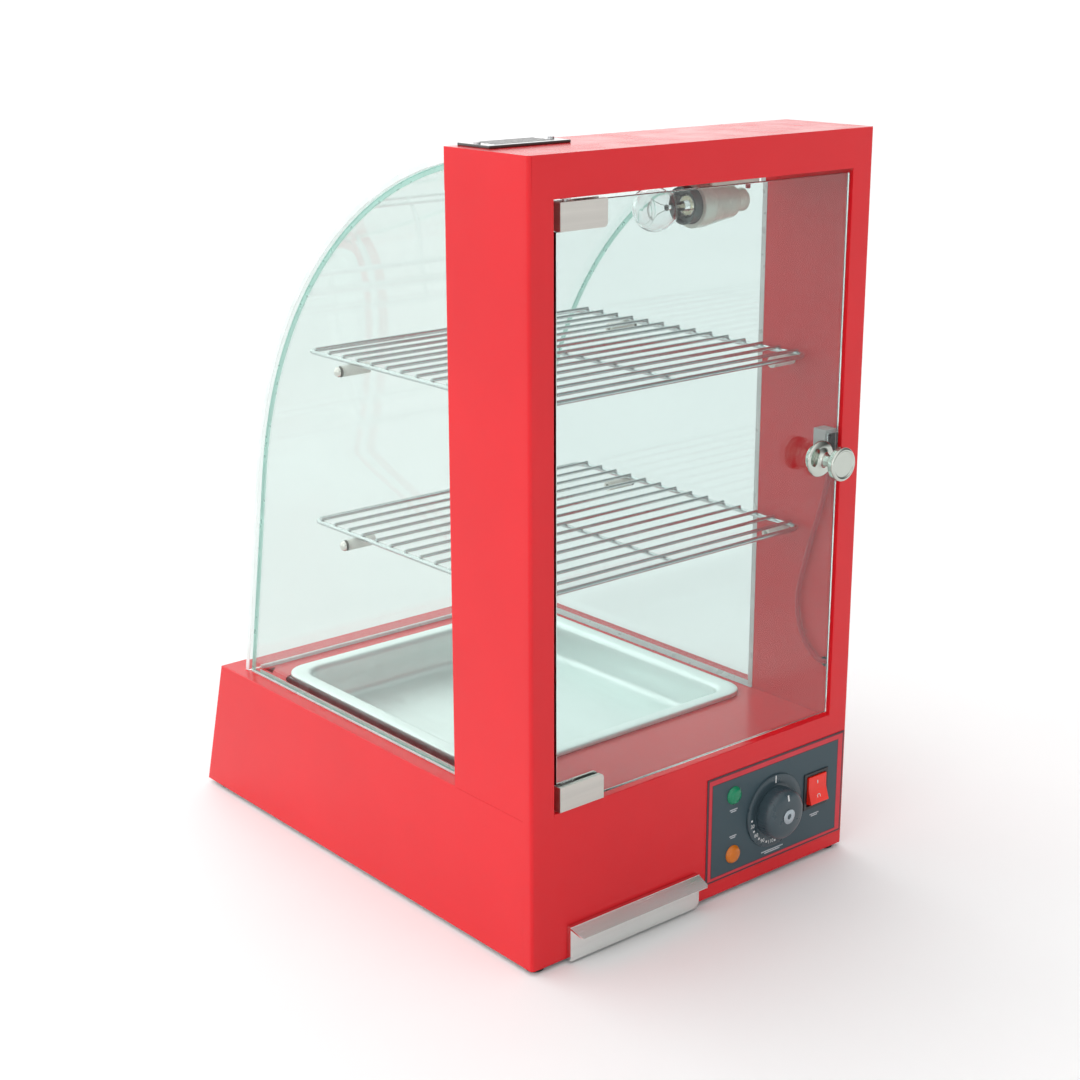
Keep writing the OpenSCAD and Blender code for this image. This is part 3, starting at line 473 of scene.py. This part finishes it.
def pane(name, x, node, edge_width=0.6, band=3.6):
    """A D-shaped sheet of glass with arrised edges. Along the curve a band on its faces carries a painted
    reflection of the edge's green.
    """
    bm = bmesh.new()
    rims, fields = [], []
    for at in x:
        rims.append(ring_loop(bm, [case(at, y, z) for y, z in d_outline(5.3)]))
        fields.append(ring_loop(bm, [case(at, y, z) for y, z in d_outline(5.3 + band, 0.8)]))
    bridge(bm, *rims)
    for f in bm.faces:
        f.material_index = 1
    for rim, field in zip(rims, fields):
        before = set(bm.faces)
        bridge(bm, rim, field)
        for f in set(bm.faces) - before:
            middle = f.calc_center_median()
            # Faces near the curved edge take the band of painted edge reflection
            f.material_index = 2 if middle.z > case(0, 0, 125).z and middle.y > case(0, 96, 0).y else 0
        bm.faces.new(field)
    bmesh.ops.recalc_face_normals(bm, faces=bm.faces)
    sharp = [e for e in bm.edges if e.calc_face_angle(0) > math.radians(60)]
    bevel(bm, sharp, edge_width / 1000, clamp_overlap=True, material=1)
    layers = [mats["cabinet_glass"], green_edge, painted_edge_reflection]
    return finish_piece(name, bm, body_of[node], slot_of[node], node, materials=layers)


pane("left_glass_pane", (-160, -155), "left_glass")
pane("right_glass_pane", (155, 160), "right_glass")

bm = bmesh.new()
rows = []
for x, drawn in ((-163, 0.5), (-162.5, 0), (162.5, 0), (163, 0.5)):
    section = glass_line(drawn) + glass_line(5 - drawn)[::-1]
    rows.append(ring_loop(bm, [case(x, y, z) for y, z in section]))
for a, b in zip(rows, rows[1:]):
    bridge(bm, a, b)
half = len(rows[0]) // 2
for row in (rows[0], rows[-1]):
    for i in range(half - 1):
        f = bm.faces.new((row[i], row[i + 1], row[2 * half - 2 - i], row[2 * half - 1 - i]))
for f in bm.faces:
    f.material_index = 1 if abs(f.calc_center_median().x) > 0.1622 else 0
layers = [mats["cabinet_glass"], pale_edge]
finish_piece("curved_glass_sheet", bm, "cabinet", "cabinet_glass", "curved_glass", materials=layers)

soften("door_glass", 0.0006, 0.002)
soften("glass_seals", 0.0003, 0.002)

# ---------------------------------------------------------------- door fittings
soften("top_clamp", 0.0006, 0.0004, 3)
soften("bottom_clamp", 0.0006, 0.0004, 3)
soften("strike_plate", 0.0002)
soften("magnetic_catch", 0.0006)
FRONT = (0, -1, 0)
knob_at = case(128.2, 0, 351)
bm = bmesh.new()
lathe(
    bm,
    [(0, -5.5), (2.9, -5.5), (2.9, -1.4), (14.6, -1.4), (15, -1.1), (15, -0.2), (14.6, 0.6), (13.2, 1.5),
     (10, 2.1), (7.4, 2.7), (6, 3.9), (5.2, 5.6), (4.9, 8), (4.9, 11), (5.2, 13.4), (6.2, 15.6), (8, 17.2),
     (10.6, 18.1), (12.9, 18.6), (13.6, 19.2), (13.8, 20), (13.8, 23), (13.6, 23.9), (13, 24.6),
     (12.2, 24.95), (11.4, 24.95), (11, 24.6), (10.8, 24.2), (10.2, 23.9), (7, 24.0), (3, 24.15), (0, 24.2)],
    knob_at, FRONT,
)
finish_piece("door_knob_turned", bm, "door", "chrome", "door_knob", smooth=60)

# ---------------------------------------------------------------- shelves
def shelf(node, z):
    """A wire frame with fourteen cross wires on top and one long wire beneath them."""
    bm = bmesh.new()
    y0, y1, x, t = 38, 316, 146, 8
    up = Vector((0, 0, 1))
    corners = []
    bends = ((x - t, y0 + t), (x - t, y1 - t), (-x + t, y1 - t), (-x + t, y0 + t))
    for start, (cx, cy) in zip((-90, 0, 90, 180), bends):
        corners += arc(cx, cy, t, start, start + 90, 8)
    loop = [case(a, b, z) for a, b in corners]
    loops = []
    for i, p in enumerate(loop):
        d = (loop[(i + 1) % len(loop)] - loop[i - 1]).normalized()
        loops.append(ring_loop(bm, circle(p, d.cross(up), up, 0.002, 16)))
    for i in range(len(loops)):
        bridge(bm, loops[i], loops[(i + 1) % len(loops)])
    cross_z, wire_r = z + 2.9, 0.0015
    for i in range(14):
        tube(bm, [case(at, 48.3 + 19.8 * i, cross_z) for at in (-147, -60, 60, 147)], wire_r)
    tube(bm, [case(0, at, cross_z - 2.5) for at in (y0, 177, y1)], wire_r, round_ends=False)
    finish_piece(node + "_wires", bm, node, "shelf_wire", node, smooth=60)


shelf("upper_shelf", 427.4)
shelf("lower_shelf", 282.3)

# ---------------------------------------------------------------- pan
bm = bmesh.new()
loops = []
PAN_Y = 237
# Half width, half length, corner radius and height of each ring: over the rim and down the inside,
# then up the outside
upper = [(141, 151, 22, 122.4), (141, 151, 22, 124.3), (140.7, 150.7, 21.8, 125.2),
         (139.8, 149.8, 21, 125.75), (136, 146, 20, 125.8), (130.4, 140.4, 19, 125.8),
         (128.6, 138.6, 18.4, 125.4), (127.2, 137.2, 18, 124.2), (126, 136, 17, 121), (125.4, 135, 17, 108),
         (124.6, 133.6, 17, 97), (123.4, 132.2, 17, 93.6), (120.8, 129.4, 16, 91.6), (116, 124, 14, 90.9),
         (104, 112, 12, 90.8), (60, 70, 10, 90.8)]
lower = [(60, 70, 10, 89.9), (104, 112, 12, 89.9), (116.4, 124.6, 14.5, 90.0), (121.6, 130.2, 17, 90.8),
         (124.4, 133.2, 18, 93.2), (125.6, 134.6, 18, 97), (126.4, 136, 18, 108), (127, 137, 18, 121),
         (128, 138, 18.8, 124.2), (130.4, 140.4, 19.4, 124.9), (136, 146, 20, 124.9),
         (139.4, 149.4, 20.4, 124.8), (139.9, 149.9, 20.9, 124.2), (140.1, 150.1, 21.2, 122.4)]
for hx, hy, r, z in upper + lower:
    loops.append(ring_loop(bm, [case(a, b + PAN_Y, z) for a, b in rounded(hx, hy, r)]))
for a, b in zip(loops, loops[1:]):
    if a is loops[len(upper) - 1]:
        continue
    bridge(bm, a, b)
bridge(bm, loops[-1], loops[0])
bm.faces.new(loops[len(upper) - 1])
bm.faces.new(loops[len(upper)])
finish_piece("food_pan_pressing", bm, "food_pan", "pan_steel", "food_pan", smooth=50)

# ---------------------------------------------------------------- lamp
lamp_at = case(0, 45, 558)
ALONG = (1, 0, 0)
bm = bmesh.new()
outside = [(8.2, 13.9), (8.4, 10), (9.2, 5), (10.9, -1), (13, -6), (15.2, -11)]
bulb = [math.radians(a) for a in range(-12, 91, 6)]
outside += [(17 * math.cos(a), -18 - 17 * math.sin(a)) for a in bulb]
inside = [(max(r - 0.8, 0.0), h + (0.8 if h < -30 else 0)) for r, h in reversed(outside)]
lathe(bm, [(0 if r < 0.01 else r, h) for r, h in outside + inside], lamp_at, ALONG, 64)
bridge_ends = [e for e in bm.edges if len(e.link_faces) == 1]
bmesh.ops.bridge_loops(bm, edges=bridge_ends)
finish_piece("lamp_bulb_blown", bm, "cabinet", "bulb_glass", "lamp_bulb", smooth=60)

bm = bmesh.new()
thread = [(0, 14.1), (8.2, 14.1), (8.4, 15)]
for k in range(7):
    thread += [(r, h + 2.2 * k) for r, h in ((8.8, 15.6), (8.8, 16.2), (8.1, 16.8), (8.1, 17.3))]
lathe(bm, thread + [(8.2, 32), (5, 36), (2.5, 38), (0, 38)], lamp_at, ALONG, 48)
finish_piece("lamp_cap_threaded", bm, "cabinet", "lamp_brass", "lamp_base", smooth=50)

bm = bmesh.new()
stem = [(0, 13.9), (4.2, 13.9), (3.4, 8), (2.2, 2), (1.8, -4), (2.4, -6), (0, -6.4)]
lathe(bm, stem, lamp_at, ALONG, 32)
finish_piece("lamp_stem", bm, "cabinet", "bulb_glass")
bm = bmesh.new()
for s in (-1, 1):
    support = ((-0.004, 0.001), (-0.012, 0.003), (-0.022, 0.0075))
    tube(bm, [lamp_at + Vector((x, 0, s * z)) for x, z in support], 0.00022, 8)
coil = []
whole, coil_r = 44 * math.pi, 0.0008
for k in range(353):
    a = whole * k / 352
    bow = coil_r * math.sin(a) + 0.003 * math.sin((a / whole) * math.pi)
    coil.append(lamp_at + Vector((-0.022 - coil_r * math.cos(a), bow, -0.0075 + 0.015 * a / whole)))
tube(bm, coil, 0.00012, 6, round_ends=False)
finish_piece("lamp_filament", bm, "cabinet", "screw_steel", materials=[tungsten], smooth=60)

bm = bmesh.new()
lathe(
    bm,
    [(14.3, 18), (17, 18), (17.5, 18.5), (17.5, 29.6), (17.2, 30.6), (16.8, 31.4), (14.2, 49.6),
     (13.9, 50.6), (13, 59), (12.4, 60), (9.6, 60), (9, 60.6), (9, 73), (8.2, 74), (0, 74), (0, 56), (11, 56),
     (11, 46), (14.3, 46), (14.3, 18)],
    lamp_at, ALONG, 72,
)
bmesh.ops.remove_doubles(bm, verts=bm.verts, dist=1e-6)
block(bm, (34, 86), (36, 54), (571, 579.4), 0.0012, 3)
finish_piece("lamp_holder_moulded", bm, "cabinet", "lamp_ceramic", "lamp_holder", smooth=40)

# ---------------------------------------------------------------- lead
# Holder, header, right post, bow in the cabinet between the grommets, post again, base, switch
route = [
    (80, 45, 566), (80, 45, 580), (84, 45, 590), (98, 45.5, 596), (122, 46, 597), (146, 46, 596),
    (159, 46, 590), (163, 46, 578), (163, 44, 540), (163, 38, 480), (163, 26, 420), (163, 14, 372),
    (162, 10.5, 356), (159, 10, 347.5), (155.6, 10, 345.2), (152.3, 10, 345), (150.3, 10.1, 343.8),
    (149.3, 10.7, 340), (149, 13, 326), (149, 19, 302), (149, 27, 276), (149, 36, 244), (149, 40.5, 218),
    (149, 37, 197), (149, 28, 181), (149.2, 19, 173.5), (149.6, 13.5, 171), (151, 10.6, 170.1),
    (153.2, 10, 170), (156.5, 10, 169.6), (160, 11.5, 165), (163, 20, 148), (163, 30, 125), (162, 33, 104),
    (152, 37, 84), (140, 36.5, 69),
]
bm = bmesh.new()
tube(bm, [case(*p) for p in spline(route, 8)], 0.00195, 16, round_ends=False)
finish_piece("lamp_lead_sleeved", bm, "cabinet", "red_lead", "lamp_lead", smooth=60)

# ---------------------------------------------------------------- controls
dial_at = case(86, 0, 57)
soften("control_plate", 0.0002, 0.004)


def print_sheet(bm, x, z, layer, hole=None):
    """A thin printed layer on the control plate, with an optional rectangular hole."""
    y = (-0.8 - 0.04 * layer, -0.8 - 0.04 * (layer - 1))
    if not hole:
        block(bm, x, y, z, 0)
        return
    (hx0, hx1), (hz0, hz1) = hole
    block(bm, (x[0], hx0), y, z, 0)
    block(bm, (hx1, x[1]), y, z, 0)
    block(bm, (hx0, hx1), y, (z[0], hz0), 0)
    block(bm, (hx0, hx1), y, (hz1, z[1]), 0)


switch_hole = ((137 - 13.2, 137 + 13.2), (61 - 15.4, 61 + 15.4))
for name, x, z, layer, material in (
    ("control_outline_print", (8.9, 171.1), (12.9, 104.6), 1, print_maroon),
    ("control_border_print", (10.3, 169.7), (14.2, 103.3), 2, print_red),
    ("control_inner_line_print", (13.5, 164.2), (16.4, 99.2), 3, print_maroon),
    ("control_field_print", (14.1, 163.5), (17, 98.5), 4, mats["control_field"]),
):
    bm = bmesh.new()
    print_sheet(bm, x, z, layer, switch_hole)
    finish_piece(name, bm, "cabinet", "control_field", materials=[material])

bm = bmesh.new()
profile = [(8, -0.4), (8, 2.4), (8.4, 2.8), (21, 2.8), (22.5, 2.2), (24, 2.2), (25, 2.8), (31.3, 2.8),
           (31.8, 2.5), (32, 2), (32, 0.8)]
lathe(bm, profile, dial_at, FRONT, 128)
finish_piece("dial_ring_moulded", bm, "cabinet", "dial_plastic", "dial_ring", smooth=35)

bm = bmesh.new()
profile = [(3.02, 3.2), (21.6, 3.2), (22, 3.6), (22, 7), (21.8, 10.5), (21.3, 13.2), (20.2, 15.3),
           (18.6, 16.7), (16, 17.6), (12, 18.2), (8, 18.55), (3, 18.6), (0, 18.6)]
lathe(bm, profile, dial_at, FRONT, 180)
for v in bm.verts:
    d = v.co - dial_at
    r, deep = math.hypot(d.x, d.z), -d.y
    if r > 0.0205 and deep < 0.0135:
        rib = 0.00035 * max(0.0, math.cos(45 * math.atan2(d.z, d.x))) ** 2
        v.co -= Vector((d.x, 0, d.z)).normalized() * rib
finish_piece("thermostat_knob_cap", bm, "thermostat_dial", "dial_plastic", "thermostat_knob", smooth=40)
bm = bmesh.new()
profile = [(0, 18.5), (6.3, 18.5), (6.5, 18.7), (6.5, 19.15), (6.2, 19.4), (2.4, 19.4), (2.0, 18.8),
           (0, 18.8)]
lathe(bm, profile, dial_at, FRONT, 64)
finish_piece("knob_badge_turned", bm, "thermostat_dial", "badge_metal", "knob_badge", smooth=40)
# A dark plastic disc fills the badge's centre dimple: painted shade in the dimple
bm = bmesh.new()
lathe(bm, [(0, 18.7), (2.1, 18.7), (2.1, 19.1), (1.7, 19.3), (0, 19.3)], dial_at, FRONT, 32)
finish_piece("knob_badge_painted_shade", bm, "thermostat_dial", "dial_plastic", smooth=40)


def spoke(bm, angle, r0, r1, w, y, thick=0.06, lean=0.0):
    """A thin radial bar round the dial's centre. Angle 0 is up and grows clockwise from the front."""
    a = math.radians(angle)
    out, over = Vector((math.sin(a), 0, math.cos(a))), Vector((math.cos(a), 0, -math.sin(a)))
    corners = []
    for r, s in ((r0, -1), (r0, 1), (r1, 1), (r1, -1)):
        corners.append(dial_at + out * r / 1000 + over * s * w / 2000)
    leans = (0, 0, lean, lean)
    front = ring_loop(bm, [c + Vector((0, (-y - thick - n) / 1000, 0)) for c, n in zip(corners, leans)])
    back = ring_loop(bm, [c + Vector((0, (-y + 0.1 - n) / 1000, 0)) for c, n in zip(corners, leans)])
    bridge(bm, front, back)
    bm.faces.new(front)
    bm.faces.new(back)


bm = bmesh.new()
spoke(bm, 0, 24.8, 31.2, 1.2, 2.8)
for k in range(5):
    spoke(bm, 178 + k * 22, 26.4, 28.2, 1.7, 2.8)
finish_piece("dial_ring_ticks", bm, "cabinet", "dial_plastic", materials=[print_white])
bm = bmesh.new()
spoke(bm, 0, 13.5, 18.4, 1.5, 18.1, 0.1, -1.0)
finish_piece("knob_pointer", bm, "thermostat_dial", "dial_plastic", materials=[print_white])


def number(text, name, x, z, y, size):
    """An upright number on the dial ring. Its matrix stands it up to face the front."""
    curve = bpy.data.curves.new(name, "FONT")
    curve.body = text
    curve.size = size / 1000
    curve.extrude = 0.00003
    curve.align_x = curve.align_y = "CENTER"
    curve.materials.append(print_white)
    o = bpy.data.objects.new(name, curve)
    bpy.context.scene.collection.objects.link(o)
    o.matrix_world = Matrix.Translation(case(x, y, z)) @ Matrix.Rotation(math.pi / 2, 4, "X")
    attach(o, "cabinet")


for k, text in enumerate(("110", "90", "60", "30")):
    a = math.radians(189 + k * 22)
    x, z = 86 + 27.2 * math.sin(a), 57 + 27.2 * math.cos(a)
    number(text, "dial_number_" + text, x, z, -2.84, 4.6)

bm = bmesh.new()
for x, z, w in ((38.5, 70.5, 9), (38.5, 47, 8), (137, 37.5, 11), (86, 20.5, 26)):
    block(bm, (x - w / 2, x + w / 2), (-1.0, -0.96), (z + 0.3, z + 1.3), 0)
    block(bm, (x - w * 0.35, x + w * 0.35), (-1.0, -0.96), (z - 1.3, z - 0.3), 0)
finish_piece("control_marks", bm, "cabinet", "control_field", materials=[print_grey])


def lens(node, x, z):
    """A domed indicator lens with a flange, on a body that is closed at the back."""
    bm = bmesh.new()
    flange = [(5, -20), (5, 0.8), (7.8, 0.8), (7.8, 1.5), (7.55, 2.0), (7.1, 2.3)]
    steps = [math.radians(a) for a in (15, 30, 45, 60, 75)]
    dome = [(7.1 * math.cos(a), 2.3 + 2.7 * math.sin(a)) for a in steps]
    lathe(bm, [*flange, *dome, (0, 5.0)], case(x, 0, z), FRONT, 48)
    hole = [e for e in bm.edges if len(e.link_faces) == 1]
    bmesh.ops.edgeloop_fill(bm, edges=hole)
    finish_piece(node + "_lens", bm, "cabinet", slot_of[node], node, smooth=50)


lens("green_indicator", 38.5, 84)
lens("orange_indicator", 38.5, 31.5)
soften("rocker_housing", 0.0005, 0.003)
bm = bmesh.new()
section = [(4, -12), (-9.2, -12), (-9.5, -11.6), (-8.6, -6), (-8.0, -1.5), (-7.85, 0), (-8.0, 1.5),
           (-8.6, 6), (-9.5, 11.6), (-9.2, 12), (4, 12)]
lo = ring_loop(bm, [Vector((-0.0108, y / 1000, z / 1000)) for y, z in section])
hi = ring_loop(bm, [Vector((0.0108, y / 1000, z / 1000)) for y, z in section])
bridge(bm, lo, hi)
bm.faces.new(lo)
bm.faces.new(hi)
rims = [e for e in bm.edges if e.calc_face_angle(0) > math.radians(60)]
bevel(bm, rims, 0.0007, 3)
tube(bm, [(-0.0122, 0, 0), (0, 0, 0), (0.0122, 0, 0)], 0.0015)
turn = Matrix.Translation(case(137, 4, 61)) @ Matrix.Rotation(math.radians(-9), 4, "X")
bmesh.ops.transform(bm, matrix=turn, verts=bm.verts)
finish_piece("rocker_button_shape", bm, "rocker", "rocker_red", "rocker_button", smooth=40)
for z, mark in ((6.2, "rocker_mark_on"), (-6.2, "rocker_mark_off")):
    bm = bmesh.new()
    centre = turn @ Vector((0, -0.0087, z / 1000))
    out = (turn.to_3x3() @ Vector((0, -1, 0))).normalized()
    if z > 0:
        lathe(bm, [(0, 0), (0.5, 0), (0.5, 0.12), (0, 0.12)], centre, out, 16)
        for v in bm.verts:
            v.co.z = centre.z + (v.co.z - centre.z) * 3.4
    else:
        lathe(bm, [(1.5, 0), (2.0, 0), (2.0, 0.12), (1.5, 0.12), (1.5, 0)], centre, out, 32)
    finish_piece(mark, bm, "rocker", "rocker_red", materials=[print_white])

# ---------------------------------------------------------------- tray, vent, gland
soften("crumb_tray", 0.0003, 0.003)
soften("vent_grille", 0.0004, 0.002)
soften("mains_gland", 0.0004, 0.004)
soften("heat_box", 0.0003, 0.01)
soften("heat_shield", 0.0002, 0.01)
soften("tray_guides", 0.0002, 0.004)
soften("terminal_block", 0.0004, 0.003)
soften("thermostat_body", 0.0006, 0.004)

# ---------------------------------------------------------------- stage
bm = bmesh.new()
bmesh.ops.create_grid(bm, x_segments=1, y_segments=1, size=80)
mesh = bpy.data.meshes.new("floor")
bm.to_mesh(mesh)
bm.free()
floor = bpy.data.objects.new("floor", mesh)
bpy.context.scene.collection.objects.link(floor)
f = Nodes("floor")
f.set(Specular_IOR_Level=0.2)
f.colour(f.span(f.noise(3, 3), 0, 1), (0.91, 0.91, 0.91), (0.93, 0.93, 0.93))
f.roughness(f.span(f.noise(20, 3), 0.6, 0.75))
floor.data.materials.append(f.mat)


def area(name, at, toward, size, power):
    light = bpy.data.lights.new(name, "AREA")
    light.shape = "RECTANGLE"
    light.size, light.size_y = size
    light.energy = power
    o = bpy.data.objects.new(name, light)
    bpy.context.scene.collection.objects.link(o)
    o.location = at
    o.rotation_mode = "QUATERNION"
    o.rotation_quaternion = (Vector(toward) - Vector(at)).to_track_quat("-Z", "Y")


area("left_softbox", (-2.6, -0.6, 1.2), (0, 0, 0.3), (1.8, 1.6), 6.5)

# The room: brightest overhead and behind the case, darker on the right, lifted again near the horizon
world = bpy.data.worlds.new("studio")
bpy.context.scene.world = world
world.use_nodes = True
tree = world.node_tree
direction = tree.nodes.new("ShaderNodeTexCoord").outputs["Generated"]
parts = tree.nodes.new("ShaderNodeSeparateXYZ")
tree.links.new(direction, parts.inputs[0])


def world_math(kind, a, b):
    n = tree.nodes.new("ShaderNodeMath")
    n.operation = kind
    for i, v in enumerate((a, b)):
        if isinstance(v, (int, float)):
            n.inputs[i].default_value = v
        else:
            tree.links.new(v, n.inputs[i])
    return n.outputs[0]


high = world_math("MULTIPLY", world_math("MAXIMUM", parts.outputs["Z"], 0.0), 0.90)
left = world_math("MULTIPLY", world_math("MINIMUM", parts.outputs["X"], 0.0), -0.25)
behind = world_math("MULTIPLY", world_math("MAXIMUM", parts.outputs["Y"], 0.0), 1.02)
right = world_math("MULTIPLY", world_math("MAXIMUM", parts.outputs["X"], 0.0), -0.40)
corner = tree.nodes.new("ShaderNodeVectorMath")
corner.operation = "DOT_PRODUCT"
corner.inputs[1].default_value = (0.63, -0.27, 0.73)
tree.links.new(direction, corner.inputs[0])
toward = world_math("MAXIMUM", corner.outputs["Value"], 0.0)
dark_corner = world_math("MULTIPLY", world_math("POWER", toward, 4.0), -0.6)
sides = world_math("ADD", world_math("ADD", left, right), dark_corner)
level = world_math("ADD", world_math("ADD", high, sides), world_math("ADD", behind, 0.52))
off_level = world_math("ABSOLUTE", parts.outputs["Z"], 0.0)
low = world_math("SUBTRACT", 1.0, world_math("MULTIPLY", off_level, 8.0))
level = world_math("ADD", level, world_math("MULTIPLY", world_math("MAXIMUM", low, 0.0), 0.8))
tree.links.new(level, tree.nodes["Background"].inputs["Strength"])
tree.nodes["Background"].inputs["Color"].default_value = (1, 1, 1, 1)
bpy.context.scene.view_settings.view_transform = "Standard"
